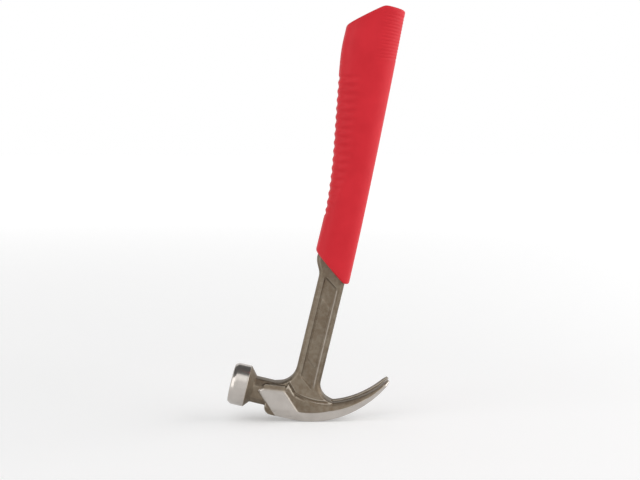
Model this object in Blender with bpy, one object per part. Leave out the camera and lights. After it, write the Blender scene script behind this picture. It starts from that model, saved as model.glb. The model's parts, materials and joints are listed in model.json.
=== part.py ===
"""Curved claw hammer: a one-piece steel forging under a moulded two-shot grip.

The tool is modelled in its own axes: the shank runs along +Z from the head to the butt, the
striking face looks along -X, the claws curve towards +X, and Y is the tool's thickness. Z = 0 is
the lowest line of the head. An empty then leans the whole tool on the outer curve of its claws.
"""
import math

import bmesh
import bpy
from mathutils import Vector

MM = 0.001

# Fits
MOULD_GAP = 0.3 * MM
MAGNET_GAP = 0.3 * MM

# Pose: how far the handle leans towards the claws
LEAN = math.radians(13.53)

# Poll, a turned form on an axis along X
POLL_REACH = 59.8 * MM
POLL_AXIS_HEIGHT = 16.6 * MM
POLL_DIAMETER = 33.8 * MM
POLL_LENGTH = 13.6 * MM
POLL_BACK_TAPER = 6.2 * MM
CONE_END_DIAMETER = 19.2 * MM
CONE_TAIL_DIAMETER = 16.0 * MM
FACE_FLAT_DIAMETER = 20.0 * MM
FACE_CROWN = 0.5 * MM
RIM_CHAMFER_LENGTH = 3.0 * MM
RIM_CHAMFER_DEPTH = 1.8 * MM

# Neck between the poll and the cheeks, eight sided
NECK_AXIS_HEIGHT = 15.7 * MM
NECK_HEIGHT = 20.0 * MM
NECK_WIDTH = 21.4 * MM
NECK_CHAMFER = 5.2 * MM

# Cheeks, the flat-sided block that the shank grows out of
CHEEK_WIDTH = 25.0 * MM
CHEEK_FRONT = 29.0 * MM
CHEEK_NOSE_RADIUS = 6.0 * MM
CHEEK_TOP = 24.2 * MM
CHEEK_TOP_CHAMFER = 2.8 * MM

# Ridge from the top of the cheeks down to the claws, round the foot of the shank: distances in
# front of the shank's axis
RIDGE_FOOT = 7.0 * MM
RIDGE_PEAK = 14.4 * MM
RIDGE_HEIGHT = 28.2 * MM
RIDGE_DROP = 1.6 * MM
RIDGE_CHAMFER = 1.3 * MM

# Ground pads, five-sided flats standing proud of the forged cheeks: corners as distances in front
# of the shank's axis and heights. Each bevel runs from the flat down to the pads' depth.
PAD_HEIGHT = 1.2 * MM
PAD_DEPTH = 2.4 * MM
PAD_FRONT_BEVEL = 2.4 * MM
PAD_LOW_BEVEL = 5.0 * MM
PAD_REAR_BEVEL = 3.4 * MM
PAD_TOP_BEVEL = 4.0 * MM
PAD_POINT = (34.8 * MM, 17.8 * MM)
PAD_TOP_FRONT = (33.0 * MM, 19.6 * MM)
PAD_TOP_BACK = (17.2 * MM, 21.6 * MM)
PAD_REAR = (3.4 * MM, 8.3 * MM)
PAD_LOW = (22.8 * MM, 5.8 * MM)

# Claws, swept round a circle whose lowest point lies a little in front of the shank, and then
# round a wider one to their tips. Angles are those of the first circle.
CLAW_RADIUS = 72.5 * MM
CLAW_TIP_RADIUS = 87.0 * MM
CLAW_TURN = math.radians(38.0)
CLAW_LOW_POINT = 6.0 * MM
CLAW_SWEEP = math.radians(71.5)
CLAW_ROOT_THICKNESS = 20.6 * MM
CLAW_TIP_THICKNESS = 2.2 * MM
CLAW_TIP_WIDTH = 24.4 * MM
CLAW_EDGE_CHAMFER = 2.6 * MM
TIP_CORNER_LENGTH = 4.6 * MM
TIP_CORNER_WIDTH = 3.4 * MM
BAND_HEIGHT = 7.8 * MM
BAND_DEPTH = 3.0 * MM
BAND_FRONT_HEIGHT = 4.0 * MM
BAND_SHARE = 0.56
CLAW_DRAFT = 1.6 * MM
DRAFT_FADE = 0.4

# Nail slot between the claws
SLOT_ROOT = math.radians(29.0)
SLOT_ROOT_WIDTH = 1.8 * MM
SLOT_TIP_WIDTH = 8.6 * MM
SLOT_BEVEL = 1.7 * MM
SLOT_PAST_TIP = math.radians(6.0)

# Shank, a forged I-beam, and the flare of its front edge under the grip
SHANK_WIDTH = 21.4 * MM
SHANK_THICKNESS = 13.0 * MM
SHANK_CHAMFER = 2.4 * MM
SHANK_ROOT = 12.4 * MM
FRONT_FILLET = 16.0 * MM
REAR_FILLET = 14.0 * MM
ROOT_BLEND = 18.0 * MM
FRONT_FLARE = 5.0 * MM
FLARE_START = 118.0 * MM
FLARE_LENGTH = 14.0 * MM

# Recessed panels on both sides of the shank, with slanted ends and a bare raised plaque
PANEL_WIDTH = 12.4 * MM
PANEL_SHIFT = -0.2 * MM
PANEL_LOW = 31.2 * MM
PANEL_HIGH = 115.6 * MM
PANEL_END_RISE = 8.4 * MM
PANEL_DRAFT = 1.5 * MM
PANEL_CORNER = 1.5 * MM
WEB_THICKNESS = 8.2 * MM
PLAQUE_LOW = 48.0 * MM
PLAQUE_HIGH = 98.0 * MM
PLAQUE_END_RISE = 11.0 * MM
PLAQUE_HEIGHT = 0.8 * MM
PLAQUE_MARGIN = 0.8 * MM

# Tang, the flat strip that the grip is moulded on
TANG_WIDTH = 12.0 * MM
TANG_THICKNESS = 5.4 * MM
TANG_SHIFT = -5.0 * MM
TANG_START = 150.0 * MM
TANG_END = 316.0 * MM
TANG_SHOULDER = 14.0 * MM
TANG_CHAMFER = 1.1 * MM
ANCHOR_HOLES = 3
ANCHOR_DIAMETER = 6.4 * MM
ANCHOR_FIRST = 178.0 * MM
ANCHOR_PITCH = 52.0 * MM

# Magnet in the floor of the nail-starting notch
MAGNET_DIAMETER = 5.0 * MM
MAGNET_LENGTH = 3.0 * MM
MAGNET_RECESS = 0.4 * MM

# Grip core, the stiff first shot
CORE_WALL = 3.2 * MM
CORE_CAP = 4.0 * MM
CORE_CORNER = 3.0 * MM
CORE_SET_BACK = 3.0 * MM

# Grip skin, the thick soft second shot
GRIP_END = 337.0 * MM
GRIP_START = 123.6 * MM
GRIP_THICKNESS = 27.0 * MM
GRIP_FRONT = 18.0 * MM
GRIP_BACK = 14.2 * MM
GRIP_SQUARENESS = 2.5
END_SLANT = 0.74
SLANT_KNEE = 9.5 * MM
SLANT_ROUND = 1.5 * MM
SLANT_FADE = 55.0 * MM
POMMEL_START = 165.0 * MM
POMMEL_FRONT = 35.9 * MM
POMMEL_BACK = 6.6 * MM
BACK_BOW = 1.3
POMMEL_THICKNESS = 29.0 * MM
POMMEL_PEAK = 10.3 * MM
BUTT_SLOPE = 0.82
BUTT_FADE = 60.0 * MM
LIP_ROUND = 1.6 * MM
BUTT_ROUND = 2.2 * MM
PEAK_ROUND = 3.0 * MM
RIB_START = 167.4 * MM
RIB_PITCH = 6.9 * MM
RIB_COUNT = 17
RIB_DEPTH = 0.8 * MM
RIB_TILT = 0.22
RIB_FIRST_LIMIT = 0.6
RIB_SPREAD = 45.0 * MM
RIB_END_FADE = 0.4

# Facets
POLL_SEGMENTS = 64
GRIP_SEGMENTS = 40
HOLE_SEGMENTS = 24
CORNER_STEPS = 3
NOSE_STATIONS = 8
NOSE_FIRST_TURN = math.radians(8.0)
CHEEK_STATIONS = 6
CLAW_STATIONS = 25
SLOT_STATIONS = 16
FILLET_STATIONS = 20
FLARE_STATIONS = 7
SHOULDER_STATIONS = 6
LIP_STEPS = 3
LOWER_STATIONS = 7
RIB_STEPS = 4
POMMEL_STATIONS = 8
BUTT_STEPS = 4
BUTT_SHRINKS = (0.75, 0.5, 0.25, 0.06)
HALVINGS = 40
CREASE_ANGLE = math.radians(28.0)
EDGE_ROUND = 0.8 * MM
OVERRUN = 3.0 * MM

# Limits, as shares of the length beside them
CORNER_LIMIT = 0.4
CHAMFER_LIMIT = 0.45
EDGE_LIMIT = 0.15

FORGED_WIDTH = CHEEK_WIDTH - 2 * PAD_HEIGHT
POLL_BACK = POLL_REACH - POLL_LENGTH
NECK_FRONT = POLL_BACK - POLL_BACK_TAPER
TIP_CORNER_START = CLAW_SWEEP - TIP_CORNER_LENGTH / CLAW_RADIUS
NECK_TOP = NECK_AXIS_HEIGHT + NECK_HEIGHT / 2
NECK_BOTTOM = NECK_AXIS_HEIGHT - NECK_HEIGHT / 2
NOTCH_MIDDLE = (NECK_FRONT + CHEEK_FRONT) / 2


def lerp(start, end, share):
    return start + (end - start) * share


def smooth(value, start, end):
    """A soft step from 0 at start to 1 at end."""
    share = min(max((value - start) / (end - start), 0.0), 1.0)
    return share * share * (3.0 - 2.0 * share)


def steps(start, end, count):
    return [lerp(start, end, i / count) for i in range(count + 1)]


def new_object(name, bm):
    bmesh.ops.recalc_face_normals(bm, faces=bm.faces)
    mesh = bpy.data.meshes.new(name)
    bm.to_mesh(mesh)
    bm.free()
    obj = bpy.data.objects.new(name, mesh)
    bpy.context.scene.collection.objects.link(obj)
    return obj


def loft(name, rings):
    """Skin closed rings that have the same number of points, and cap both ends."""
    bm = bmesh.new()
    loops = [[bm.verts.new(point) for point in ring] for ring in rings]
    for low, high in zip(loops, loops[1:]):
        for i in range(len(low)):
            j = (i + 1) % len(low)
            bm.faces.new((low[i], low[j], high[j], high[i]))
    bm.faces.new(loops[0])
    bm.faces.new(loops[-1])
    return new_object(name, bm)


def boolean(target, tool, operation):
    """Join a tool solid to the target, or cut it away, and drop the tool."""
    modifier = target.modifiers.new("Boolean", "BOOLEAN")
    modifier.operation = operation
    modifier.solver = "EXACT"
    modifier.object = tool
    graph = bpy.context.evaluated_depsgraph_get()
    mesh = bpy.data.meshes.new_from_object(target.evaluated_get(graph))
    target.modifiers.clear()
    target.data = mesh
    bpy.data.objects.remove(tool)


def round_corners(outline, radius):
    """Turn each corner of a closed 2-D outline into a short curve."""
    rounded = []
    for i, corner in enumerate(outline):
        before = Vector(outline[i - 1]) - Vector(corner)
        after = Vector(outline[(i + 1) % len(outline)]) - Vector(corner)
        reach = min(radius, before.length * CORNER_LIMIT, after.length * CORNER_LIMIT)
        first = Vector(corner) + before.normalized() * reach
        last = Vector(corner) + after.normalized() * reach
        for s in steps(0.0, 1.0, CORNER_STEPS - 1):
            rounded.append(first * (1 - s) ** 2 + Vector(corner) * 2 * s * (1 - s) + last * s * s)
    return rounded


def chamfered_box(low, high, half, chamfer):
    """An eight-sided outline from low to high in its first coordinate and half either way."""
    cut = min(chamfer, (high - low) * CHAMFER_LIMIT, 2 * half * CHAMFER_LIMIT)
    return [
        (low + cut, -half), (high - cut, -half), (high, -half + cut), (high, half - cut),
        (high - cut, half), (low + cut, half), (low, half - cut), (low, -half + cut),
    ]


def round_bar(name, centre, radius, start, end, axis):
    """A plain round bar along Y or Z, for holes, plugs and the magnet."""
    rings = []
    for along in (start, end):
        ring = []
        for i in range(HOLE_SEGMENTS):
            angle = 2 * math.pi * i / HOLE_SEGMENTS
            across = centre[0] + radius * math.cos(angle)
            other = centre[1] + radius * math.sin(angle)
            ring.append((across, along, other) if axis == "Y" else (across, other, along))
        rings.append(ring)
    return loft(name, rings)


def poll():
    radius = POLL_DIAMETER / 2
    rim = -POLL_REACH + FACE_CROWN
    profile = [
        (-POLL_REACH, FACE_FLAT_DIAMETER / 2),
        (rim, radius - RIM_CHAMFER_DEPTH),
        (rim + RIM_CHAMFER_LENGTH, radius),
        (-POLL_BACK, radius),
        (-NECK_FRONT, CONE_END_DIAMETER / 2),
        (-NECK_FRONT + OVERRUN, CONE_TAIL_DIAMETER / 2),
    ]
    rings = []
    for x, r in profile:
        ring = []
        for i in range(POLL_SEGMENTS):
            angle = 2 * math.pi * i / POLL_SEGMENTS
            ring.append((x, r * math.cos(angle), POLL_AXIS_HEIGHT + r * math.sin(angle)))
        rings.append(ring)
    return loft("poll", rings)


def neck():
    outline = chamfered_box(NECK_BOTTOM, NECK_TOP, NECK_WIDTH / 2, NECK_CHAMFER)
    outline = round_corners(outline, EDGE_ROUND)
    rings = [[(x, y, z) for z, y in outline] for x in (-POLL_BACK - OVERRUN, -RIDGE_PEAK)]
    return loft("neck", rings)


def claw_thickness(angle):
    """Thickness square to the outer curve, from the foot of the shank to the tips."""
    return lerp(CLAW_ROOT_THICKNESS, CLAW_TIP_THICKNESS, angle / CLAW_SWEEP)


def claw_point(angle, depth):
    """A point in the XZ plane, at a depth inwards from the claws' outer curve."""
    radius = CLAW_RADIUS
    turn = angle
    if angle > CLAW_TURN:
        radius = CLAW_TIP_RADIUS
        turn = CLAW_TURN + (angle - CLAW_TURN) * CLAW_RADIUS / CLAW_TIP_RADIUS
    move = CLAW_RADIUS - radius
    middle = -CLAW_LOW_POINT + move * math.sin(CLAW_TURN), CLAW_RADIUS - move * math.cos(CLAW_TURN)
    reach = radius - depth
    return middle[0] + reach * math.sin(turn), middle[1] - reach * math.cos(turn)


def head_outline(thickness, width, band, chamfer, draft):
    """Section of cheek or claw: band, drafted side and top chamfer, as (depth, y) points."""
    side = width / 2
    slope = BAND_DEPTH * band / BAND_HEIGHT
    above = thickness - band
    top = min(chamfer, above * CHAMFER_LIMIT)
    edge = side - min(draft, above * CHAMFER_LIMIT)
    half = [(0.0, side - slope), (band, side), (thickness - top, edge), (thickness, edge - top)]
    outline = half + [(depth, -y) for depth, y in reversed(half)]
    return round_corners(outline, min(EDGE_ROUND, thickness * EDGE_LIMIT))


def cheek_top(forward):
    """Height and top chamfer of the cheeks, which rise from the claws to the ridge's peak and drop
    to the neck."""
    rise = (forward - RIDGE_FOOT) / (RIDGE_PEAK - RIDGE_FOOT)
    top = lerp(CLAW_ROOT_THICKNESS, RIDGE_HEIGHT, min(max(rise, 0.0), 1.0))
    drop = min(max((forward - RIDGE_PEAK) / RIDGE_DROP, 0.0), 1.0)
    return lerp(top, CHEEK_TOP, drop), lerp(RIDGE_CHAMFER, CHEEK_TOP_CHAMFER, drop)


def cheek_ring(x):
    """Upright section between the notch and the lowest point of the head."""
    into_nose = max(0.0, -CHEEK_FRONT + CHEEK_NOSE_RADIUS - x)
    bottom = CHEEK_NOSE_RADIUS - math.sqrt(max(0.0, CHEEK_NOSE_RADIUS ** 2 - into_nose ** 2))
    spread = smooth(-x, CLAW_LOW_POINT, CHEEK_FRONT - CHEEK_NOSE_RADIUS)
    band = lerp(BAND_HEIGHT, BAND_FRONT_HEIGHT, spread)
    top, chamfer = cheek_top(-x)
    outline = head_outline(top - bottom, FORGED_WIDTH, band, chamfer, 0.0)
    return [(x, y, bottom + depth) for depth, y in outline]


def claw_ring(angle):
    """Section square to the outer curve."""
    share = angle / CLAW_SWEEP
    thickness = claw_thickness(angle)
    into_corner = max(0.0, (angle - TIP_CORNER_START) / (CLAW_SWEEP - TIP_CORNER_START))
    width = lerp(FORGED_WIDTH, CLAW_TIP_WIDTH, share) - 2 * TIP_CORNER_WIDTH * into_corner
    band = min(BAND_HEIGHT, BAND_SHARE * thickness)
    past_root = smooth(share, 0.0, DRAFT_FADE)
    chamfer = lerp(RIDGE_CHAMFER, CLAW_EDGE_CHAMFER, past_root)
    ring = []
    for depth, y in head_outline(thickness, width, band, chamfer, CLAW_DRAFT * past_root):
        x, z = claw_point(angle, depth)
        ring.append((x, y, z))
    return ring


def cheeks_and_claws():
    nose_turns = steps(NOSE_FIRST_TURN, math.pi / 2, NOSE_STATIONS)
    nose_back = -CHEEK_FRONT + CHEEK_NOSE_RADIUS
    stations = [nose_back - CHEEK_NOSE_RADIUS * math.sin(turn) for turn in reversed(nose_turns)]
    ridge = (RIDGE_PEAK + RIDGE_DROP, RIDGE_PEAK, RIDGE_FOOT)
    stations += steps(nose_back, -CLAW_LOW_POINT, CHEEK_STATIONS)[:-1]
    stations += [-forward for forward in ridge]
    rings = [cheek_ring(x) for x in sorted(stations)]
    rings += [claw_ring(angle) for angle in steps(0.0, TIP_CORNER_START, CLAW_STATIONS)]
    rings.append(claw_ring(CLAW_SWEEP))
    return loft("cheeks_and_claws", rings)


def grow_outline(outline, distances):
    """Move each side of an outline, given anticlockwise, outwards by its own distance. The first
    distance belongs to the side that starts at the first corner."""
    grown = []
    for i, corner in enumerate(outline):
        before = (Vector(corner) - Vector(outline[i - 1])).normalized()
        after = (Vector(outline[(i + 1) % len(outline)]) - Vector(corner)).normalized()
        turn = before.x * after.y - before.y * after.x
        move = before * distances[i] - after * distances[i - 1]
        grown.append(Vector(corner) + move / turn)
    return grown


def cheek_pads():
    """One five-sided block through the cheeks, whose bevelled ends are the two ground pads."""
    corners = (PAD_POINT, PAD_LOW, PAD_REAR, PAD_TOP_BACK, PAD_TOP_FRONT)
    flat = [(-reach, height) for reach, height in corners]
    front = PAD_FRONT_BEVEL
    foot = grow_outline(flat, (front, PAD_LOW_BEVEL, PAD_REAR_BEVEL, PAD_TOP_BEVEL, front))
    outside = CHEEK_WIDTH / 2
    inside = outside - PAD_DEPTH
    layers = ((-outside, flat), (-inside, foot), (inside, foot), (outside, flat))
    return loft("cheek_pads", [[(x, y, z) for x, z in outline] for y, outline in layers])


def nail_slot():
    """A tapering cut between the claws, wider on the inner side of the curve."""
    rings = []
    for angle in steps(SLOT_ROOT, CLAW_SWEEP + SLOT_PAST_TIP, SLOT_STATIONS):
        share = (angle - SLOT_ROOT) / (CLAW_SWEEP - SLOT_ROOT)
        half = lerp(SLOT_ROOT_WIDTH, SLOT_TIP_WIDTH, share) / 2
        inner = claw_thickness(SLOT_ROOT) + OVERRUN
        slope = SLOT_BEVEL / inner
        ring = []
        for depth, side in ((-OVERRUN, -1), (-OVERRUN, 1), (inner, 1), (inner, -1)):
            x, z = claw_point(angle, depth)
            ring.append((x, side * (half + slope * max(depth, 0.0)), z))
        rings.append(ring)
    return loft("nail_slot", rings)


def rear_foot_height():
    """Height of the claws' inner surface where the shank's rear fillet ends."""
    target = SHANK_WIDTH / 2 + REAR_FILLET
    low = 0.0
    high = CLAW_SWEEP
    for _ in range(HALVINGS):
        angle = (low + high) / 2
        x, z = claw_point(angle, claw_thickness(angle))
        if x < target:
            low = angle
        else:
            high = angle
    return z


def fillet(height, foot, radius):
    """How far a quarter-round fillet stands out at a height above its foot."""
    if height >= foot + radius:
        return 0.0
    fall = radius - max(height - foot, 0.0)
    return radius - math.sqrt(radius * radius - fall * fall)


def stem_ring(z, grow):
    """Section of the shank or tang at a height, grown outwards by a clearance."""
    front = SHANK_WIDTH / 2 + fillet(z, NECK_TOP, FRONT_FILLET)
    front += FRONT_FLARE * smooth(z, FLARE_START, FLARE_START + FLARE_LENGTH)
    rear = SHANK_WIDTH / 2 + fillet(z, rear_foot_height(), REAR_FILLET)
    spread = max(0.0, 1.0 - max(0.0, z - CLAW_ROOT_THICKNESS) / ROOT_BLEND)
    root = FORGED_WIDTH / 2 - RIDGE_CHAMFER
    half = lerp(SHANK_THICKNESS / 2, root, spread * spread)
    into_tang = smooth(z, TANG_START - TANG_SHOULDER, TANG_START)
    front = lerp(front, TANG_WIDTH / 2 - TANG_SHIFT, into_tang)
    rear = lerp(rear, TANG_WIDTH / 2 + TANG_SHIFT, into_tang)
    half = lerp(half, TANG_THICKNESS / 2, into_tang)
    chamfer = lerp(SHANK_CHAMFER, TANG_CHAMFER, into_tang)
    outline = chamfered_box(-front - grow, rear + grow, half + grow, chamfer)
    return [(x, y, z) for x, y in round_corners(outline, EDGE_ROUND)]


def stem(name, grow):
    """Shank and tang as one run of sections, from inside the head to the end of the tang."""
    fillet_end = max(NECK_TOP + FRONT_FILLET, rear_foot_height() + REAR_FILLET)
    heights = [SHANK_ROOT] + steps(CLAW_ROOT_THICKNESS, fillet_end, FILLET_STATIONS)
    heights += steps(FLARE_START, FLARE_START + FLARE_LENGTH, FLARE_STATIONS)
    heights += steps(TANG_START - TANG_SHOULDER, TANG_START, SHOULDER_STATIONS)
    heights.append(TANG_END + grow)
    return loft(name, [stem_ring(z, grow) for z in heights])


def anchor_bars(radius, half_length):
    """Round bars across the tang, one for each anchor hole."""
    bars = []
    for i in range(ANCHOR_HOLES):
        centre = (TANG_SHIFT, ANCHOR_FIRST + i * ANCHOR_PITCH)
        bars.append(round_bar("anchor", centre, radius, -half_length, half_length, "Y"))
    return bars


def slanted_outline(low, high, inset, rise):
    """Panel outline in the XZ plane, with both ends slanted alike."""
    half = PANEL_WIDTH / 2 - inset
    lift = rise * half / PANEL_WIDTH
    corners = [
        (PANEL_SHIFT - half, low + lift), (PANEL_SHIFT + half, low - lift),
        (PANEL_SHIFT + half, high - lift), (PANEL_SHIFT - half, high + lift),
    ]
    return round_corners(corners, PANEL_CORNER)


def panel_cutter(side):
    """Drafted recess on one side of the shank, down to the web."""
    depth = (SHANK_THICKNESS - WEB_THICKNESS) / 2
    proud = OVERRUN * PANEL_DRAFT / depth
    mouth = slanted_outline(PANEL_LOW - proud, PANEL_HIGH + proud, -proud, PANEL_END_RISE)
    low = PANEL_LOW + PANEL_DRAFT
    floor = slanted_outline(low, PANEL_HIGH - PANEL_DRAFT, PANEL_DRAFT, PANEL_END_RISE)
    outside = side * (SHANK_THICKNESS / 2 + OVERRUN)
    inside = side * WEB_THICKNESS / 2
    return loft("panel", [[(x, outside, z) for x, z in mouth], [(x, inside, z) for x, z in floor]])


def plaque():
    """Bare raised field in the middle of both panels."""
    inset = PANEL_DRAFT + PLAQUE_MARGIN
    outline = slanted_outline(PLAQUE_LOW, PLAQUE_HIGH, inset, PLAQUE_END_RISE)
    half = WEB_THICKNESS / 2 + PLAQUE_HEIGHT
    return loft("plaque", [[(x, y, z) for x, z in outline] for y in (-half, half)])


def magnet_bar(name, gap, below):
    top = NECK_BOTTOM + MAGNET_RECESS + MAGNET_LENGTH + gap
    bottom = NECK_BOTTOM + MAGNET_RECESS - below
    return round_bar(name, (-NOTCH_MIDDLE, 0.0), MAGNET_DIAMETER / 2 + gap, bottom, top, "Z")


def steel_forging():
    forging = stem("steel_forging", 0.0)
    for piece in (neck(), poll(), cheeks_and_claws(), cheek_pads()):
        boolean(forging, piece, "UNION")
    boolean(forging, nail_slot(), "DIFFERENCE")
    for side in (-1, 1):
        boolean(forging, panel_cutter(side), "DIFFERENCE")
    boolean(forging, plaque(), "UNION")
    for bar in anchor_bars(ANCHOR_DIAMETER / 2, TANG_THICKNESS):
        boolean(forging, bar, "DIFFERENCE")
    boolean(forging, magnet_bar("pocket", MAGNET_GAP, MAGNET_RECESS + OVERRUN), "DIFFERENCE")
    return forging


def core_block(name, grow):
    """Outside of the stiff core, grown outwards by a clearance."""
    low = TANG_SHIFT - TANG_WIDTH / 2 - CORE_WALL - grow
    high = TANG_SHIFT + TANG_WIDTH / 2 + CORE_WALL + grow
    half = TANG_THICKNESS / 2 + CORE_WALL + grow
    outline = round_corners(chamfered_box(low, high, half, CORE_CORNER), EDGE_ROUND)
    start = TANG_START + CORE_SET_BACK - grow
    end = TANG_END + CORE_CAP + grow
    return loft(name, [[(x, y, z) for x, y in outline] for z in (start, end)])


def grip_core():
    core = core_block("grip_core", 0.0)
    cavity = stem("cavity", MOULD_GAP)
    for bar in anchor_bars(ANCHOR_DIAMETER / 2 - MOULD_GAP, TANG_THICKNESS):
        boolean(cavity, bar, "DIFFERENCE")
    boolean(core, cavity, "DIFFERENCE")
    return core


def grip_ring(z, inset, shrink=1.0):
    """Section of the grip: a rounded box that leans forward into the pommel."""
    into_pommel = smooth(z, POMMEL_START, GRIP_END - POMMEL_PEAK)
    along = (z - GRIP_START) / (GRIP_END - GRIP_START)
    front = lerp(GRIP_FRONT, POMMEL_FRONT, into_pommel) - inset
    back = lerp(GRIP_BACK, POMMEL_BACK, along ** BACK_BOW) - inset
    half = lerp(GRIP_THICKNESS, POMMEL_THICKNESS, into_pommel) / 2 - inset
    slant = lerp(END_SLANT, -RIB_TILT, smooth(z, GRIP_START, GRIP_START + SLANT_FADE))
    into_butt = smooth(z, GRIP_END - BUTT_FADE, GRIP_END)
    slant *= 1.0 - into_butt
    centre = (back - front) / 2
    reach = (back + front) / 2 * shrink
    half *= shrink
    power = 2.0 / GRIP_SQUARENESS
    ring = []
    for i in range(GRIP_SEGMENTS):
        angle = 2 * math.pi * i / GRIP_SEGMENTS
        c = math.cos(angle)
        s = math.sin(angle)
        cut = rib_cut(z, -c)
        x = centre + (reach - cut) * math.copysign(abs(c) ** power, c)
        y = (half - cut) * math.copysign(abs(s) ** power, s)
        past_peak = -x - POMMEL_PEAK
        drop = BUTT_SLOPE * into_butt * (past_peak + math.hypot(past_peak, PEAK_ROUND)) / 2
        past_knee = x - SLANT_KNEE
        level = (past_knee + math.hypot(past_knee, SLANT_ROUND)) / 2
        ring.append((x, y, z - slant * (x - level) - drop))
    return ring


def rib_cut(z, facing_front):
    """Depth of the grooves that cross the front of the grip and reach further back as they rise."""
    along = (z - RIB_START) / RIB_PITCH
    if along <= 0.0 or along >= RIB_COUNT:
        return 0.0
    wave = (1.0 - math.cos(2 * math.pi * along)) / 2
    limit = RIB_FIRST_LIMIT * (1.0 - smooth(z, RIB_START, RIB_START + RIB_SPREAD))
    return RIB_DEPTH * wave * smooth(facing_front, limit, limit + RIB_END_FADE)


def grip_skin():
    outline = []
    for turn in steps(math.pi / 2, 0.0, LIP_STEPS):
        height = GRIP_START + LIP_ROUND * (1.0 - math.sin(turn))
        outline.append((height, LIP_ROUND * (1.0 - math.cos(turn))))
    rib_end = RIB_START + RIB_PITCH * RIB_COUNT
    butt_start = GRIP_END - BUTT_ROUND
    heights = steps(GRIP_START + LIP_ROUND, RIB_START, LOWER_STATIONS)[1:-1]
    heights += steps(RIB_START, rib_end, RIB_COUNT * RIB_STEPS)
    heights += steps(rib_end, butt_start, POMMEL_STATIONS)[1:]
    outline += [(z, 0.0) for z in heights]
    for turn in steps(0.0, math.pi / 2, BUTT_STEPS)[1:]:
        height = butt_start + BUTT_ROUND * math.sin(turn)
        outline.append((height, BUTT_ROUND * (1.0 - math.cos(turn))))
    rings = [grip_ring(z, inset) for z, inset in outline]
    rings += [grip_ring(GRIP_END, BUTT_ROUND, shrink) for shrink in BUTT_SHRINKS]
    skin = loft("grip_skin", rings)
    boolean(skin, stem("cavity", MOULD_GAP), "DIFFERENCE")
    boolean(skin, core_block("core_space", MOULD_GAP), "DIFFERENCE")
    return skin


def nail_magnet():
    return magnet_bar("nail_magnet", 0.0, 0.0)


def finish(obj, colour, roughness, metallic):
    """Shade the piece smooth between its creases and give it its own material."""
    obj.data.shade_smooth()
    obj.data.set_sharp_from_angle(angle=CREASE_ANGLE)
    material = bpy.data.materials.new(obj.name)
    material.use_nodes = True
    shader = material.node_tree.nodes["Principled BSDF"]
    shader.inputs["Base Color"].default_value = (*colour, 1.0)
    shader.inputs["Roughness"].default_value = roughness
    shader.inputs["Metallic"].default_value = metallic
    obj.data.materials.clear()
    obj.data.materials.append(material)


def lean_on_claws(pieces):
    """Hang the pieces on a leaning empty, centred over the floor point below their box."""
    frame = bpy.data.objects.new("lean", None)
    bpy.context.scene.collection.objects.link(frame)
    frame.rotation_euler = (0.0, LEAN, 0.0)
    for piece in pieces:
        piece.parent = frame
    bpy.context.view_layer.update()
    points = [piece.matrix_world @ v.co for piece in pieces for v in piece.data.vertices]
    left = min(point.x for point in points)
    right = max(point.x for point in points)
    lowest = min(point.z for point in points)
    frame.location = (-(left + right) / 2, 0.0, -lowest)
    bpy.context.view_layer.update()


def main():
    for obj in list(bpy.data.objects):
        bpy.data.objects.remove(obj)
    forging = steel_forging()
    magnet = nail_magnet()
    core = grip_core()
    skin = grip_skin()
    finish(forging, (0.18, 0.155, 0.122), 0.5, 0.9)
    finish(magnet, (0.55, 0.55, 0.56), 0.3, 1.0)
    finish(core, (0.03, 0.03, 0.03), 0.6, 0.0)
    finish(skin, (0.6, 0.027, 0.042), 0.5, 0.0)
    lean_on_claws([forging, magnet, core, skin])


main()
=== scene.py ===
"""Looks of the curved claw hammer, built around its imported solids.

The forging is a fine remesh of its solid, so that every edge is softly rounded. The panels in its
shank are made shallower, a crease is pressed in above the ledge at the shank's foot, and its ground
areas are told apart from its as-forged skin. The soft grip is lofted anew with its finer ribs.
"""
import json
import math

import bpy
import numpy as np
from mathutils import Matrix, Vector


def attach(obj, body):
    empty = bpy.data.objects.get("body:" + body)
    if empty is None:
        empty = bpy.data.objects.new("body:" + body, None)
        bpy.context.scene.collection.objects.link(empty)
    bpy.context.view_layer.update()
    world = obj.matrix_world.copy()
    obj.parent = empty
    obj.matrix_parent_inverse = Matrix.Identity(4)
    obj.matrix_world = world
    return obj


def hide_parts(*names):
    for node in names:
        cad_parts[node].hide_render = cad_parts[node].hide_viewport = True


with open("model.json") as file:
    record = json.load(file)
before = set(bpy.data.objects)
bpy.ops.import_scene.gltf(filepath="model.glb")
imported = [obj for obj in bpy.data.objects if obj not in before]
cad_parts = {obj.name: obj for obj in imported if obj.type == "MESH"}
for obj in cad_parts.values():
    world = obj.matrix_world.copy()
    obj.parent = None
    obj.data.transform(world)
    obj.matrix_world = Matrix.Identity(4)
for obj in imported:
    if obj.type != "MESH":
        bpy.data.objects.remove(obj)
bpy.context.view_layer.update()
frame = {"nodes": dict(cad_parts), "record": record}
MM = 0.001
TINY = 1e-9

# The tool's own axes: shank along +Z, striking face along -X, Y across
POLL_REACH = 59.8 * MM
POLL_AXIS_HEIGHT = 16.6 * MM

# Poll profile
POLL_RADIUS = 16.9 * MM
POLL_BACK = 46.2 * MM
FACE_RADIUS = 10.0 * MM
FACE_CROWN = 0.5 * MM
RIM_LENGTH = 3.0 * MM
RIM_DEPTH = 1.8 * MM
RIM_ROUND = 0.9 * MM
RIM_STEPS = 9
POLL_MARGIN = 1.0 * MM

# Where the barrel's ground side ends, and half the width of a soft line between ground and forged
BARREL_EDGE = (0.2 * MM, -0.4 * MM)
GROUND_SOFT = 0.35 * MM

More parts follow.
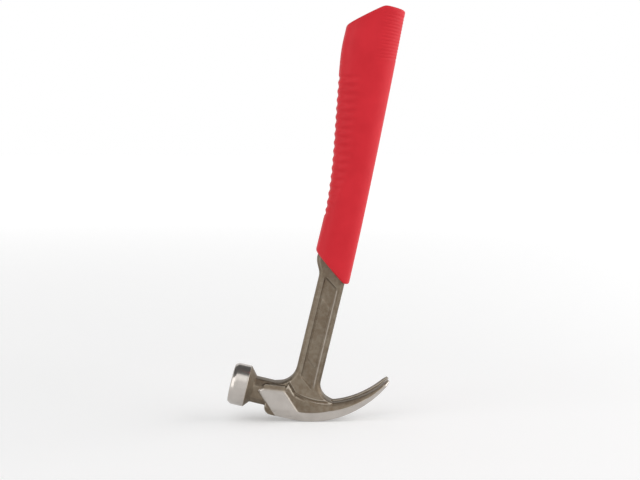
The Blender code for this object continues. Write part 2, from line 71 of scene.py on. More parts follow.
# Cheeks, and the ground pads on them: anticlockwise corners seen from the side, then how their
# brightness fades over the top edge and on the bevel behind
CHEEK_FRONT = 29.0 * MM
CHEEK_HALF = 12.5 * MM
FORGED_HALF = 11.3 * MM
NECK_HALF = 10.8 * MM
PAD_CORNERS = (
    (-34.8 * MM, 17.8 * MM), (-22.8 * MM, 5.8 * MM), (-3.4 * MM, 8.3 * MM),
    (-17.2 * MM, 21.6 * MM), (-33.0 * MM, 19.6 * MM),
)
PAD_REAR = PAD_CORNERS[2:4]
PAD_TOP = PAD_CORNERS[3:5]
PAD_MARGIN = 3.2 * MM
PAD_FLATNESS = 0.25 * MM
PAD_EDGE_FADE = 1.2 * MM
PAD_TOP_FADE = (1.6 * MM, -1.4 * MM)
PAD_REAR_FADE = (-0.4 * MM, 0.3 * MM)
PAD_REAR_DULL = 0.4

# Claws, and the ground band along their outer curve, which ends where x + z is at its front line
CLAW_RADIUS = 72.5 * MM
CLAW_TIP_RADIUS = 87.0 * MM
CLAW_TURN = math.radians(38.0)
CLAW_LOW_POINT = 6.0 * MM
CLAW_SWEEP = math.radians(71.5)
CLAW_ROOT_THICKNESS = 20.6 * MM
CLAW_TIP_THICKNESS = 2.2 * MM
BAND_HEIGHT = 7.8 * MM
BAND_FRONT_HEIGHT = 4.0 * MM
BAND_FRONT_END = 23.0 * MM
BAND_FRONT_LINE = -18.2 * MM
BAND_SHARE = 0.56

# Shank, and the core inside the grip
SHANK_FRONT = 15.7 * MM
SHANK_BACK = 10.7 * MM
SHANK_HALF = 6.5 * MM
SHANK_CHAMFER = 2.4 * MM
ROOT_HALF = 10.0 * MM
ROOT_BLEND = 18.0 * MM
CORE_FRONT = 14.2 * MM
CORE_BACK = 4.2 * MM
CORE_HALF = 5.9 * MM
CORE_CHAMFER = 3.0 * MM
CORE_START = 152.7 * MM
CORE_END = 320.3 * MM
MOULD_GAP = 0.3 * MM

# Ledge round the foot of the shank, and the crease above it
RIDGE_FOOT = 7.0 * MM
RIDGE_PEAK = 14.4 * MM
RIDGE_HEIGHT = 28.2 * MM
CREASE_DEPTH = 0.8 * MM
CREASE_HEIGHT = 0.7 * MM
CREASE_WIDTH = 0.9 * MM
CREASE_BELOW = (-0.6 * MM, 0.3 * MM)
CREASE_SIDE = (5.0 * MM, 7.0 * MM)
CREASE_FRONT_FADE = 1.0 * MM
CREASE_END = 22.0 * MM
CREASE_END_FADE = 4.0 * MM

# Panels in the shank's sides: the share of their depth that shows at the front and at the rear, the
# most edge wear and painted edge highlight that they show, and the painted highlight line along
# their rear edge
PANEL_MIDDLE = -0.2 * MM
PANEL_REACH = 7.6 * MM
PANEL_LOW = 22.0 * MM
PANEL_HIGH = 121.0 * MM
PANEL_SHARE = (0.72, 0.58)
PANEL_EDGE = 0.66
# Painted highlight line along each panel's rear edge, laid in as ground steel
HIGHLIGHT_LINE = 5.9 * MM
HIGHLIGHT_WIDTH = 0.6 * MM
HIGHLIGHT_LOW = 28.0 * MM
HIGHLIGHT_HIGH = 111.0 * MM
HIGHLIGHT_FADE = 2.0 * MM
HIGHLIGHT_SHARE = 0.34

# Grip: its form, its ribs and the finer ribs on its back, and how it is divided
GRIP_END = 337.0 * MM
GRIP_START = 123.6 * MM
GRIP_THICKNESS = 27.0 * MM
GRIP_FRONT = 18.0 * MM
GRIP_BACK = 14.2 * MM
GRIP_SQUARENESS = 2.5
END_SLANT = 0.74
SLANT_KNEE = 9.5 * MM
SLANT_ROUND = 1.5 * MM
SLANT_FADE = 55.0 * MM
POMMEL_START = 165.0 * MM
POMMEL_FRONT = 35.9 * MM
POMMEL_BACK = 6.6 * MM
BACK_BOW = 1.3
POMMEL_THICKNESS = 29.0 * MM
POMMEL_PEAK = 10.3 * MM
BUTT_SLOPE = 0.82
BUTT_FADE = 60.0 * MM
LIP_ROUND = 1.6 * MM
BUTT_ROUND = 1.6 * MM
PEAK_ROUND = 2.0 * MM
RIB_START = 167.4 * MM
RIB_PITCH = 6.9 * MM
RIB_COUNT = 17
RIB_DEPTH = 0.8 * MM
RIB_TILT = 0.22
RIB_FIRST_LIMIT = 0.6
RIB_SPREAD = 45.0 * MM
RIB_END_FADE = 0.4
FINE_START = 296.0 * MM
FINE_PITCH = 2.6 * MM
FINE_COUNT = 14
FINE_DEPTH = 0.22 * MM
FINE_LIMIT = (0.1, 0.4)
GRIP_SEGMENTS = 144
GRIP_STEP = 0.6 * MM
LIP_STEPS = 7
BUTT_STEPS = 8
BUTT_CAP = (0.9, 0.75, 0.6, 0.45, 0.3, 0.15, 0.03)
CAVITY_CAP = (0.05, 0.5, 1.0)
CAVITY_RAMP = 2.0 * MM

# Remesh of the forging: each step moves a point by a share of the way to its neighbours' middle, and
# the fairing stops where the normals around a point turn too much
VOXEL = 0.42 * MM
WELD_GAP = 1e-6
STEP_SHARE = 0.5
SOFTEN_STEPS = 3
FAIR_STEPS = 24
TURN_STEPS = 5
TURN_SPREAD = 3
TURN_LIMIT = (0.012, 0.003)

# Edge wear, painted edge highlight and painted shade in hollows: how far a point stands out from the
# surface around it
EDGE_STEPS = 6
EDGE_PROUD = 0.12 * MM

# Colours, in sRGB
SKIN_DARK = (112, 99, 84)
SKIN_PALE = (130, 119, 104)
GROUND_DARK = (182, 176, 170)
GROUND_PALE = (194, 188, 182)
RED_DARK = (216, 36, 48)
RED_PALE = (224, 41, 53)
CORE_DARK = (30, 30, 31)
CORE_PALE = (42, 42, 43)
NICKEL_DARK = (178, 178, 180)
NICKEL_PALE = (200, 200, 202)

# Tints of the skin: the values where each starts and is full, its full share, its colour
BROWN_TINT = (0.45, 0.7, 0.55, (98, 80, 62))
GREY_TINT = (0.5, 0.3, 0.35, (142, 134, 120))
GRAIN_TINT = (0.35, 0.65, 0.35, (140, 129, 114))
# Lighter on convex edges: partly wear, partly a painted highlight
WORN_EDGE_AND_HIGHLIGHT_TINT = (0.52, 1.0, 0.55, (196, 187, 174))
# Darker in hollows and recesses: painted shade
HOLLOW_SHADE_TINT = (-0.3, -0.9, 0.2, (86, 70, 54))

# Noises: scale, detail and roughness, and the span in which most of their values lie
STEEL_GRAIN = (1400.0, 4.0, 0.6)
STEEL_MOTTLE = (260.0, 4.0, 0.65)
STEEL_PATCHES = (90.0, 3.0, 0.55)
GRIP_GRAIN = (2600.0, 2.0, 0.55)
GRIP_PATCHES = (60.0, 2.0, 0.55)
CORE_GRAIN = (900.0, 3.0, 0.55)
NICKEL_GRAIN = (1200.0, 3.0, 0.55)
NOISE_SPAN = (0.3, 0.7)

# Surfaces: roughness, or its range, and the depth and strength of the grain
SKIN_ROUGHNESS = (0.46, 0.6)
SKIN_GRIT = (0.12 * MM, 0.7)
GROUND_ROUGHNESS = (0.19, 0.26)
GROUND_GRIT_SHARE = 0.03
GRIP_ROUGHNESS = (0.42, 0.54)
GRIP_GRIT = (0.05 * MM, 0.5)
GRIP_GLOSS = 0.25
CORE_ROUGHNESS = 0.6
NICKEL_ROUGHNESS = (0.2, 0.32)
MATT = 0.9

# Camera: the photograph's place, tilt and lens
CAMERA_PLACE = (0.0042, -0.8714, 0.2183)
CAMERA_TILT = math.radians(4.73)
LENS = 61.37
SENSOR = 36.0

# Light: the level of the world's fill, and each lamp's place, target, width, height and power
FILL = 0.5
LEFT_LAMP = ((-2.0, -1.1, 1.0), (0.0, 0.0, 0.12), 1.2, 2.0, 8.5)
RIGHT_LAMP = ((2.0, -0.2, 1.0), (0.02, 0.0, 0.15), 2.4, 2.0, 28.0)
SUN = 0.4
SUN_WIDTH = math.radians(60.0)
SUN_DIRECTION = (0.3, 0.7, -1.0)

# Stage: left, right, front, back and height, and the floor's own white towards the background
FLOOR = (-40.0, 40.0, -40.0, 40.0, 0.0)
FLOOR_LEVEL = 0.8
FLOOR_GLOW = (0.24, 0.5)
FLOOR_FADE = (0.3, 3.0)
CARD = (-1.3, 1.3, -0.4, 1.2, 0.95)
CARD_LEVEL = 0.2


def tool_axes():
    """The matrix from the tool's own axes to the frame, from the striking face's mount."""
    face = next(m for m in frame["record"]["mounts"] if m["name"] == "striking_face")
    lean = math.atan2(face["axis"][2], -face["axis"][0])
    turn = Matrix.Rotation(lean, 4, "Y")
    middle = turn @ Vector((-POLL_REACH, 0.0, POLL_AXIS_HEIGHT))
    return Matrix.Translation(Vector(face["pos_m"]) - middle) @ turn


TOOL = np.array(tool_axes())


def to_tool(points):
    return (points - TOOL[:3, 3]) @ TOOL[:3, :3]


def to_frame(points):
    return points @ TOOL[:3, :3].T + TOOL[:3, 3]


def smooth(values, start, end):
    """A soft step from 0 at start to 1 at end, which may be the lower of the two."""
    share = np.clip((values - start) / (end - start), 0.0, 1.0)
    return share * share * (3.0 - 2.0 * share)


def points_of(mesh):
    points = np.empty(len(mesh.vertices) * 3)
    mesh.vertices.foreach_get("co", points)
    return points.reshape(-1, 3)


def neighbour_mean(values, edges, counts):
    """For each vertex, the mean of the values at the vertices next to it."""
    mean = np.empty_like(values)
    first = edges[:, 0]
    second = edges[:, 1]
    size = len(values)
    for column in range(values.shape[1]):
        there = np.bincount(first, values[second, column], size)
        back = np.bincount(second, values[first, column], size)
        mean[:, column] = (there + back) / counts
    return mean


def edges_of(mesh):
    edges = np.empty(len(mesh.edges) * 2, dtype=np.int32)
    mesh.edges.foreach_get("vertices", edges)
    edges = edges.reshape(-1, 2)
    return edges, np.maximum(np.bincount(edges.ravel(), minlength=len(mesh.vertices)), 1)


def normals_of(mesh):
    normals = np.empty(len(mesh.vertices) * 3)
    mesh.vertex_normals.foreach_get("vector", normals)
    return normals.reshape(-1, 3)


def remeshed_copy(node, name):
    """A fine, even remesh of a solid, as a new object."""
    mesh = frame["nodes"][node].data.copy()
    piece = bpy.data.objects.new(name, mesh)
    bpy.context.scene.collection.objects.link(piece)
    weld = piece.modifiers.new("Weld", "WELD")
    weld.merge_threshold = WELD_GAP
    remesh = piece.modifiers.new("Remesh", "REMESH")
    remesh.mode = "VOXEL"
    remesh.voxel_size = VOXEL
    graph = bpy.context.evaluated_depsgraph_get()
    piece.data = bpy.data.meshes.new_from_object(piece.evaluated_get(graph))
    piece.modifiers.clear()
    piece.data.materials.clear()
    return piece


def soften(mesh):
    """Round the edges a little, then fair what lies between them."""
    points = points_of(mesh)
    edges, counts = edges_of(mesh)
    for _ in range(SOFTEN_STEPS):
        points += STEP_SHARE * (neighbour_mean(points, edges, counts) - points)
    mesh.vertices.foreach_set("co", points.ravel())
    mesh.update()
    around = normals_of(mesh)
    for _ in range(TURN_STEPS):
        around = neighbour_mean(around, edges, counts)
    turned = 1.0 - np.linalg.norm(around, axis=1)
    for _ in range(TURN_SPREAD):
        turned = np.maximum(turned, neighbour_mean(turned[:, None], edges, counts)[:, 0])
    free = smooth(turned, *TURN_LIMIT)[:, None]
    for _ in range(FAIR_STEPS):
        points += STEP_SHARE * free * (neighbour_mean(points, edges, counts) - points)
    return points


def poll_profile():
    """The turned poll as (x, radius) points, from the face's middle to the back of the barrel."""
    rim = -POLL_REACH + FACE_CROWN
    corners = [
        (-POLL_REACH, 0.0), (-POLL_REACH, FACE_RADIUS), (rim, POLL_RADIUS - RIM_DEPTH),
        (rim + RIM_LENGTH, POLL_RADIUS), (-POLL_BACK, POLL_RADIUS),
    ]
    profile = [Vector(corners[0])]
    for before, corner, after in zip(corners, corners[1:], corners[2:]):
        to_before = (Vector(before) - Vector(corner)).normalized() * RIM_ROUND
        to_after = (Vector(after) - Vector(corner)).normalized() * RIM_ROUND
        for s in np.linspace(0.0, 1.0, RIM_STEPS):
            profile.append(Vector(corner) + to_before * (1 - s) ** 2 + to_after * s * s)
    profile.append(Vector(corners[-1]))
    return np.array(profile)


def turn_poll(points):
    """Move the poll's points onto its exact turned profile."""
    x = points[:, 0]
    y = points[:, 1]
    z = points[:, 2] - POLL_AXIS_HEIGHT
    radius = np.hypot(y, z)
    mine = np.flatnonzero((x < -POLL_BACK - RIM_ROUND) & (radius < POLL_RADIUS + POLL_MARGIN))
    here = np.stack([x[mine], radius[mine]], axis=1)
    profile = poll_profile()
    best = np.full(len(mine), np.inf)
    found = here.copy()
    for start, end in zip(profile, profile[1:]):
        along = end - start
        share = np.clip((here - start) @ along / (along @ along), 0.0, 1.0)
        spot = start + share[:, None] * along
        gap = np.linalg.norm(here - spot, axis=1)
        nearer = gap < best
        best[nearer] = gap[nearer]
        found[nearer] = spot[nearer]
    scale = found[:, 1] / np.maximum(radius[mine], TINY)
    points[mine, 0] = found[:, 0]
    points[mine, 1] = y[mine] * scale
    points[mine, 2] = POLL_AXIS_HEIGHT + z[mine] * scale


def inside_edge(x, z, start, end):
    """How far each point lies inside one edge of an anticlockwise outline; less than 0 outside."""
    run_x = end[0] - start[0]
    run_z = end[1] - start[1]
    return (run_x * (z - start[1]) - run_z * (x - start[0])) / math.hypot(run_x, run_z)


def inside_outline(x, z, corners):
    """How far each point lies inside a convex outline, given anticlockwise; less than 0 outside."""
    edges = zip(corners, corners[1:] + corners[:1])
    return np.min([inside_edge(x, z, *edge) for edge in edges], axis=0)


def claw_place(points):
    """Each point's angle along the claws' sweep and depth from their outer curve."""
    x = points[:, 0] + CLAW_LOW_POINT
    z = CLAW_RADIUS - points[:, 2]
    angle = np.arctan2(x, z)
    depth = CLAW_RADIUS - np.hypot(x, z)
    move = CLAW_RADIUS - CLAW_TIP_RADIUS
    far_x = x - move * math.sin(CLAW_TURN)
    far_z = z - move * math.cos(CLAW_TURN)
    past = (np.arctan2(far_x, far_z) - CLAW_TURN) * CLAW_TIP_RADIUS / CLAW_RADIUS
    far = angle > CLAW_TURN
    angle = np.where(far, CLAW_TURN + past, angle)
    return angle, np.where(far, CLAW_TIP_RADIUS - np.hypot(far_x, far_z), depth)


def claw_thickness(angle):
    share = angle / CLAW_SWEEP
    return CLAW_ROOT_THICKNESS + (CLAW_TIP_THICKNESS - CLAW_ROOT_THICKNESS) * share


def ground_share(points):
    """1 where the steel is ground bright, 0 where it is left as forged; a painted highlight line
    along the panels' rear edges is laid in as partly ground.
    """
    x, y, z = points.T
    side = np.abs(y)
    barrel = smooth(x + POLL_BACK, *BARREL_EDGE)
    over = -inside_edge(x, z, *PAD_TOP)
    behind = -inside_edge(x, z, *PAD_REAR)
    level = np.where((over > 0.0) | (x < -CHEEK_FRONT), NECK_HALF, FORGED_HALF)
    near_pad = inside_outline(x, z, PAD_CORNERS) > -PAD_MARGIN
    pad = near_pad * smooth(side, level, level + 2 * GROUND_SOFT) * smooth(over, *PAD_TOP_FADE)
    pad *= 1.0 - PAD_REAR_DULL * smooth(behind, *PAD_REAR_FADE)
    angle, depth = claw_place(points)
    band = np.minimum(BAND_HEIGHT, BAND_SHARE * claw_thickness(angle))
    front = smooth(-x, CLAW_LOW_POINT, BAND_FRONT_END)
    band = np.where(angle < 0.0, BAND_HEIGHT + (BAND_FRONT_HEIGHT - BAND_HEIGHT) * front, band)
    depth = np.where(angle < 0.0, z, depth)
    low = smooth(depth, band + GROUND_SOFT, band - GROUND_SOFT)
    low *= smooth((x + z - BAND_FRONT_LINE) / math.sqrt(2.0), -GROUND_SOFT, GROUND_SOFT)
    # A painted highlight line along each panel's rear edge
    highlight = HIGHLIGHT_SHARE * np.exp(-((x - HIGHLIGHT_LINE) / HIGHLIGHT_WIDTH) ** 2)
    highlight *= smooth(z, HIGHLIGHT_LOW, HIGHLIGHT_LOW + HIGHLIGHT_FADE) * smooth(z, HIGHLIGHT_HIGH, HIGHLIGHT_HIGH - HIGHLIGHT_FADE)
    return np.maximum(np.minimum(barrel + pad + low, 1.0), highlight)


def on_panel(points):
    """Whether each point is in or beside a panel of the shank."""
    x, _, z = points.T
    return (np.abs(x - PANEL_MIDDLE) < PANEL_REACH) & (z > PANEL_LOW) & (z < PANEL_HIGH)


def shallow_panels(points):
    """Bring the floors of the shank's panels up to the depth that shows."""
    x, y, z = points.T
    spread = np.clip(1.0 - (z - CLAW_ROOT_THICKNESS) / ROOT_BLEND, 0.0, 1.0)
    side = SHANK_HALF + (ROOT_HALF - SHANK_HALF) * spread ** 2
    sunk = np.maximum(side - np.abs(y), 0.0)
    share = np.interp(x, (PANEL_MIDDLE - PANEL_REACH, PANEL_MIDDLE + PANEL_REACH), PANEL_SHARE)
    points[:, 1] += np.where(on_panel(points), np.sign(y) * sunk * (1.0 - share), 0.0)


def crease_ledge(points):
    """Press a soft crease into the shank's foot, along the ledge that runs into the claws."""
    x, y, z = points.T
    angle, depth = claw_place(points)
    rise = np.clip((-x - RIDGE_FOOT) / (RIDGE_PEAK - RIDGE_FOOT), 0.0, 1.0)
    ledge = CLAW_ROOT_THICKNESS + (RIDGE_HEIGHT - CLAW_ROOT_THICKNESS) * rise
    above = np.where(angle < 0.0, z - ledge, depth - claw_thickness(angle))
    press = np.exp(-((above - CREASE_HEIGHT) / CREASE_WIDTH) ** 2)
    press *= smooth(x + RIDGE_PEAK, -CREASE_FRONT_FADE, CREASE_FRONT_FADE)
    press *= smooth(x, CREASE_END, CREASE_END - CREASE_END_FADE)
    press *= smooth(np.abs(y), *CREASE_SIDE) * smooth(above, *CREASE_BELOW)
    points[:, 1] -= np.sign(y) * CREASE_DEPTH * press


def flatten_pads(points):
    """Bring the pads' faces into their plane, fading out at their edges."""
    x, y, z = points.T
    lift = CHEEK_HALF - np.abs(y)
    share = smooth(inside_outline(x, z, PAD_CORNERS), 0.0, PAD_EDGE_FADE)
    points[:, 1] += np.sign(y) * np.where(np.abs(lift) < PAD_FLATNESS, share * lift, 0.0)


def set_share(mesh, name, values):
    attribute = mesh.attributes.new(name, "FLOAT", "POINT")
    attribute.data.foreach_set("value", values.astype(np.float32))


def forged_body():
    piece = remeshed_copy("steel_forging", "forged_body")
    mesh = piece.data
    points = to_tool(soften(mesh))
    turn_poll(points)
    shallow_panels(points)
    crease_ledge(points)
    flatten_pads(points)
    mesh.vertices.foreach_set("co", to_frame(points).ravel())
    mesh.update()
    mesh.shade_smooth()
    set_share(mesh, "ground", ground_share(points))
    edges, counts = edges_of(mesh)
    around = points
    for _ in range(EDGE_STEPS):
        around = neighbour_mean(around, edges, counts)
    # How far each point stands out: it lightens edges (wear and painted highlight) and darkens
    # hollows (painted shade)
    proud = np.einsum("ij,ij->i", to_frame(points) - to_frame(around), normals_of(mesh))
    edge = np.clip(proud / EDGE_PROUD, -1.0, 1.0)
    edge = np.where(on_panel(points), np.minimum(edge, PANEL_EDGE), edge)
    set_share(mesh, "edge", edge)
    mesh.materials.append(steel())
    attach(piece, "root")
    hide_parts("steel_forging")


def box_ring(angles, front, back, half, chamfer):
    """A chamfered box's outline, one (x, y) point for each angle round its middle."""
    c = np.cos(angles)
    s = np.sin(angles)
    reach = (front + back) / 2
    far = (reach + half - chamfer) / (np.abs(c) + np.abs(s))
    far = np.minimum(far, reach / np.maximum(np.abs(c), TINY))
    far = np.minimum(far, half / np.maximum(np.abs(s), TINY))
    return (back - front) / 2 + far * c, far * s


def end_slant(z):
    """How much the sections slant: as the lower end, then as the ribs, then not at all."""
    slant = END_SLANT - (END_SLANT + RIB_TILT) * smooth(z, GRIP_START, GRIP_START + SLANT_FADE)
    return slant * (1.0 - smooth(z, GRIP_END - BUTT_FADE, GRIP_END))


def levelled(x, z):
    """The height of a section's points, with its slant that ends at the back's knee."""
    past_knee = x - SLANT_KNEE
    level = (past_knee + np.hypot(past_knee, SLANT_ROUND)) / 2
    return z - end_slant(z) * (x - level)


def rib_wave(z, start, pitch, count):
    """0 on the crests and 1 in the grooves of a run of ribs."""
    along = (z - start) / pitch
    inside = (along > 0.0) & (along < count)
    return np.where(inside, (1.0 - np.cos(2 * np.pi * along)) / 2, 0.0)


def grip_section(angles, z, inset, shrink):
    """One section of the grip's outside, with the ribs cut into it."""
    into_pommel = smooth(z, POMMEL_START, GRIP_END - POMMEL_PEAK)
    into_butt = smooth(z, GRIP_END - BUTT_FADE, GRIP_END)
    along = (z - GRIP_START) / (GRIP_END - GRIP_START)
    front = GRIP_FRONT + (POMMEL_FRONT - GRIP_FRONT) * into_pommel - inset
    back = GRIP_BACK + (POMMEL_BACK - GRIP_BACK) * along ** BACK_BOW - inset
    half = (GRIP_THICKNESS + (POMMEL_THICKNESS - GRIP_THICKNESS) * into_pommel) / 2 - inset
    c = np.cos(angles)
    s = np.sin(angles)
    limit = RIB_FIRST_LIMIT * (1.0 - smooth(z, RIB_START, RIB_START + RIB_SPREAD))
    cut = RIB_DEPTH * rib_wave(z, RIB_START, RIB_PITCH, RIB_COUNT)
    cut = cut * smooth(-c, limit, limit + RIB_END_FADE)
    fine = FINE_DEPTH * rib_wave(z, FINE_START, FINE_PITCH, FINE_COUNT)
    cut = cut + fine * smooth(c, *FINE_LIMIT)
    power = 2.0 / GRIP_SQUARENESS
    reach = (back + front) / 2 * shrink
    x = (back - front) / 2 + (reach - cut) * np.sign(c) * np.abs(c) ** power
    y = (half * shrink - cut) * np.sign(s) * np.abs(s) ** power
    past_peak = -x - POMMEL_PEAK
    drop = BUTT_SLOPE * into_butt * (past_peak + np.hypot(past_peak, PEAK_ROUND)) / 2
    return np.stack([x, y, levelled(x, z) - drop], axis=1)


def grip_rings():
    """All the grip's sections, from the blind end of its cavity out and up to its butt."""
    angles = 2 * np.pi * np.arange(GRIP_SEGMENTS) / GRIP_SEGMENTS
    rings = []

    def inside(z, box, slanted, shrink=1.0):
        x, y = box_ring(angles, *box)
        x = x * shrink + (1.0 - shrink) * np.mean(x)
        height = levelled(x, z) if slanted else np.full_like(x, z)
        rings.append(np.stack([x, y * shrink, height], axis=1))

    gap = MOULD_GAP
    core = (CORE_FRONT + gap, CORE_BACK + gap, CORE_HALF + gap, CORE_CHAMFER)
    shank = (SHANK_FRONT + gap, SHANK_BACK + gap, SHANK_HALF + gap, SHANK_CHAMFER)
    for shrink in CAVITY_CAP:
        inside(CORE_END, core, False, shrink)
    inside(CORE_START, core, False)
    inside(CORE_START - CAVITY_RAMP, shank, False)
    inside(GRIP_START + CAVITY_RAMP, shank, True)
    inside(GRIP_START, shank, True)
    for turn in np.linspace(np.pi / 2, 0.0, LIP_STEPS):
        height = GRIP_START + LIP_ROUND * (1.0 - np.sin(turn))
        rings.append(grip_section(angles, height, LIP_ROUND * (1.0 - np.cos(turn)), 1.0))
    butt = GRIP_END - BUTT_ROUND
    start = GRIP_START + LIP_ROUND
    for z in np.linspace(start, butt, int((butt - start) / GRIP_STEP))[1:]:
        rings.append(grip_section(angles, z, 0.0, 1.0))
    for turn in np.linspace(0.0, np.pi / 2, BUTT_STEPS)[1:]:
        height = butt + BUTT_ROUND * np.sin(turn)
        rings.append(grip_section(angles, height, BUTT_ROUND * (1.0 - np.cos(turn)), 1.0))
    for shrink in BUTT_CAP:
        rings.append(grip_section(angles, GRIP_END, BUTT_ROUND, shrink))
    return np.array(rings)


def soft_grip():
    rings = grip_rings()
    count, around = rings.shape[:2]
    index = np.arange(count * around).reshape(count, around)
    low = index[:-1]
    high = index[1:]
    quads = np.stack([low, np.roll(low, -1, 1), np.roll(high, -1, 1), high], axis=-1).reshape(-1, 4)
    caps = [index[0][::-1].tolist(), index[-1].tolist()]
    mesh = bpy.data.meshes.new("soft_grip")
    mesh.from_pydata(to_frame(rings.reshape(-1, 3)).tolist(), [], quads.tolist() + caps)
    mesh.shade_smooth()
    piece = bpy.data.objects.new("soft_grip", mesh)
    bpy.context.scene.collection.objects.link(piece)
    mesh.materials.append(soft_red())
    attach(piece, "root")
    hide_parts("grip_skin")


def rgb(colour):
    """A linear colour from its sRGB values."""
    def linear(value):
        share = value / 255.0
        return share / 12.92 if share <= 0.04045 else ((share + 0.055) / 1.055) ** 2.4

    return *map(linear, colour), 1.0


def grey(level):
    return level, level, level, 1.0


class Nodes:
    """A short way to write a material's nodes."""

    def __init__(self, name):
        self.material = bpy.data.materials.new(name)
        self.material.use_nodes = True
        self.tree = self.material.node_tree
        self.shader = self.tree.nodes["Principled BSDF"]

    def add(self, kind, inputs=None, **settings):
        node = self.tree.nodes.new(kind)
        for name, value in settings.items():
            setattr(node, name, value)
        for name, value in (inputs or {}).items():
            self.put(value, node.inputs[name])
        return node

    def put(self, value, socket):
        if isinstance(value, bpy.types.NodeSocket):
            self.tree.links.new(value, socket)
        else:
            socket.default_value = value

    def set(self, **inputs):
        for name, value in inputs.items():
            self.put(value, self.shader.inputs[name.replace("_", " ").title()])

    def place(self):
        return self.add("ShaderNodeTexCoord").outputs["Object"]

    def share(self, name):
        return self.add("ShaderNodeAttribute", attribute_name=name).outputs["Fac"]

    def noise(self, place, scale, detail, roughness):
        inputs = {"Vector": place, "Scale": scale, "Detail": detail, "Roughness": roughness}
        return self.add("ShaderNodeTexNoise", inputs).outputs["Fac"]

    def math(self, operation, first, second=0.0, third=0.0):
        node = self.add("ShaderNodeMath", operation=operation)
        for socket, value in zip(node.inputs, (first, second, third)):
            self.put(value, socket)
        return node.outputs[0]

    def map(self, value, low, high, start, end):
        """A value from low..high to start..end, clamped."""
        inputs = {"Value": value, "From Min": low, "From Max": high, "To Min": start, "To Max": end}
        return self.add("ShaderNodeMapRange", inputs).outputs["Result"]

    def mix(self, share, first, second):
        """A colour between two colours, by the number of the node's colour sockets."""
        node = self.add("ShaderNodeMix", data_type="RGBA")
        self.put(share, node.inputs[0])
        self.put(first, node.inputs[6])
        self.put(second, node.inputs[7])
        return node.outputs[2]

    def blend(self, noise, first, second):
        """A colour that a noise moves between two sRGB colours."""
        return self.mix(self.map(noise, *NOISE_SPAN, 0.0, 1.0), rgb(first), rgb(second))

    def tint(self, base, value, start, full, share, colour):
        """A base colour with an sRGB colour laid over it as a value goes from start to full."""
        return self.mix(self.map(value, start, full, 0.0, share), base, rgb(colour))

    def bump(self, height, distance, strength):
        inputs = {"Height": height, "Distance": distance, "Strength": strength}
        return self.add("ShaderNodeBump", inputs).outputs["Normal"]


def steel():
    """Shot-blasted forging scale, warm and dull, and bright belt-ground steel."""
    n = Nodes("forged_and_ground_steel")
    place = n.place()
    ground = n.share("ground")
    edge = n.share("edge")
    grain = n.noise(place, *STEEL_GRAIN)
    patches = n.noise(place, *STEEL_PATCHES)
    mottle = n.noise(place, *STEEL_MOTTLE)
    skin = n.blend(patches, SKIN_DARK, SKIN_PALE)
    skin = n.tint(skin, mottle, *BROWN_TINT)
    skin = n.tint(skin, mottle, *GREY_TINT)
    skin = n.tint(skin, grain, *GRAIN_TINT)
    # Convex edges lightened: wear and a painted highlight
    skin = n.tint(skin, edge, *WORN_EDGE_AND_HIGHLIGHT_TINT)
    # Hollows darkened: painted shade
    skin = n.tint(skin, edge, *HOLLOW_SHADE_TINT)
    bright = n.blend(patches, GROUND_DARK, GROUND_PALE)
    rough = n.map(grain, *NOISE_SPAN, *SKIN_ROUGHNESS)
    polish = n.map(grain, *NOISE_SPAN, *GROUND_ROUGHNESS)
    grit = n.math("MULTIPLY", grain, n.map(ground, 0.0, 1.0, 1.0, GROUND_GRIT_SHARE))
    rough_mix = n.math("MULTIPLY_ADD", ground, n.math("SUBTRACT", polish, rough), rough)
    n.set(base_color=n.mix(ground, skin, bright), metallic=1.0, roughness=rough_mix)
    n.set(normal=n.bump(grit, *SKIN_GRIT))
    return n.material


def soft_red():
    n = Nodes("red_soft_grip")
    place = n.place()
    grain = n.noise(place, *GRIP_GRAIN)
    patches = n.noise(place, *GRIP_PATCHES)
    colour = n.blend(patches, RED_DARK, RED_PALE)
    n.set(base_color=colour, roughness=n.map(grain, *NOISE_SPAN, *GRIP_ROUGHNESS))
    n.shader.inputs["Specular IOR Level"].default_value = GRIP_GLOSS
    n.set(normal=n.bump(grain, *GRIP_GRIT))
    return n.material


def black_core():
    n = Nodes("black_core")
    grain = n.noise(n.place(), *CORE_GRAIN)
    n.set(base_color=n.mix(grain, rgb(CORE_DARK), rgb(CORE_PALE)), roughness=CORE_ROUGHNESS)
    return n.material


def magnet_nickel():
    n = Nodes("magnet_nickel")
    grain = n.noise(n.place(), *NICKEL_GRAIN)
    n.set(base_color=n.mix(grain, rgb(NICKEL_DARK), rgb(NICKEL_PALE)), metallic=1.0)
    n.set(roughness=n.map(grain, *NOISE_SPAN, *NICKEL_ROUGHNESS))
    return n.material


def dress(node, material):
    obj = frame["nodes"][node]
    obj.data.materials.clear()
    obj.data.materials.append(material)


def camera():
    data = bpy.data.cameras.new("camera")
    data.lens = LENS
    data.sensor_width = SENSOR
    obj = bpy.data.objects.new("camera", data)
    obj.location = CAMERA_PLACE
    obj.rotation_euler = (math.pi / 2 - CAMERA_TILT, 0.0, 0.0)
    bpy.context.scene.collection.objects.link(obj)
    bpy.context.scene.camera = obj


def softbox(name, place, target, width, height, power):
    data = bpy.data.lights.new(name, "AREA")
    data.shape = "RECTANGLE"
    data.size = width
    data.size_y = height
    data.energy = power
    obj = bpy.data.objects.new(name, data)
    obj.location = place
    obj.rotation_euler = (Vector(target) - Vector(place)).to_track_quat("-Z", "Y").to_euler()
    bpy.context.scene.collection.objects.link(obj)


def seen_share(tree):
    """1 for rays that show the background: the camera's, and those in metal or glass."""
    path = tree.nodes.new("ShaderNodeLightPath")
    share = path.outputs["Is Camera Ray"]
    for name in ("Is Glossy Ray", "Is Transmission Ray"):
        either = tree.nodes.new("ShaderNodeMath")
        either.operation = "MAXIMUM"
        tree.links.new(share, either.inputs[0])
        tree.links.new(path.outputs[name], either.inputs[1])
        share = either.outputs[0]
    return share


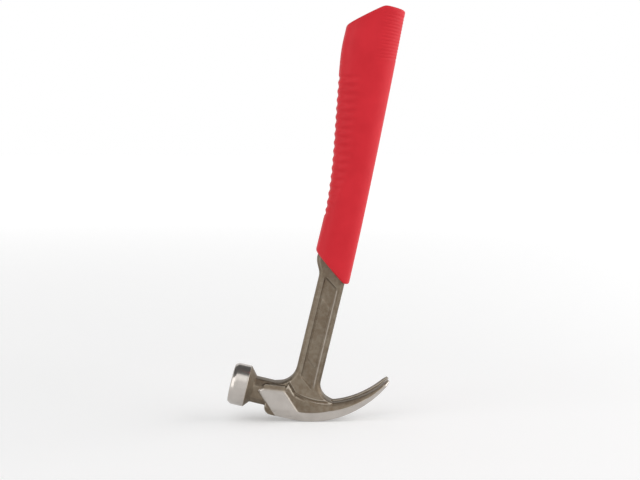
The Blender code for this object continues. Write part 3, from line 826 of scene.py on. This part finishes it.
def studio():
    world = bpy.data.worlds.new("studio")
    bpy.context.scene.world = world
    world.use_nodes = True
    tree = world.node_tree
    level = tree.nodes.new("ShaderNodeMapRange")
    level.inputs["To Min"].default_value = FILL
    level.inputs["To Max"].default_value = 1.0
    tree.links.new(seen_share(tree), level.inputs["Value"])
    background = tree.nodes["Background"]
    background.inputs["Color"].default_value = grey(1.0)
    tree.links.new(level.outputs["Result"], background.inputs["Strength"])
    softbox("left", *LEFT_LAMP)
    softbox("right", *RIGHT_LAMP)
    data = bpy.data.lights.new("top", "SUN")
    data.energy = SUN
    data.angle = SUN_WIDTH
    top = bpy.data.objects.new("top", data)
    top.rotation_euler = Vector(SUN_DIRECTION).to_track_quat("-Z", "Y").to_euler()
    bpy.context.scene.collection.objects.link(top)


def plate(name, extent, material):
    """A level rectangle with one material, for the floor or the card."""
    left, right, front, back, height = extent
    corners = [(left, front), (right, front), (right, back), (left, back)]
    mesh = bpy.data.meshes.new(name)
    mesh.from_pydata([(x, y, height) for x, y in corners], [], [(0, 1, 2, 3)])
    obj = bpy.data.objects.new(name, mesh)
    bpy.context.scene.collection.objects.link(obj)
    mesh.materials.append(material)
    return obj


def dark_card():
    """A dark card over the tool, which only the metal's reflections see."""
    n = Nodes("dark_card")
    n.set(base_color=grey(CARD_LEVEL), roughness=MATT)
    card = plate("dark_card", CARD, n.material)
    card.visible_camera = False
    card.visible_diffuse = False
    card.visible_shadow = False


def floor():
    """A pale floor that keeps the shadow and meets the white background."""
    n = Nodes("pale_floor")
    n.set(base_color=grey(FLOOR_LEVEL), roughness=MATT, emission_color=grey(1.0))
    far = n.add("ShaderNodeVectorMath", operation="LENGTH")
    n.put(n.place(), far.inputs[0])
    glow = n.map(far.outputs["Value"], *FLOOR_FADE, *FLOOR_GLOW)
    glow = n.math("MULTIPLY", seen_share(n.tree), glow)
    n.put(glow, n.shader.inputs["Emission Strength"])
    plate("floor", FLOOR, n.material)


def main():
    bpy.context.scene.view_settings.view_transform = "Standard"
    camera()
    studio()
    dark_card()
    floor()
    forged_body()
    soft_grip()
    dress("grip_core", black_core())
    dress("nail_magnet", magnet_nickel())


main()
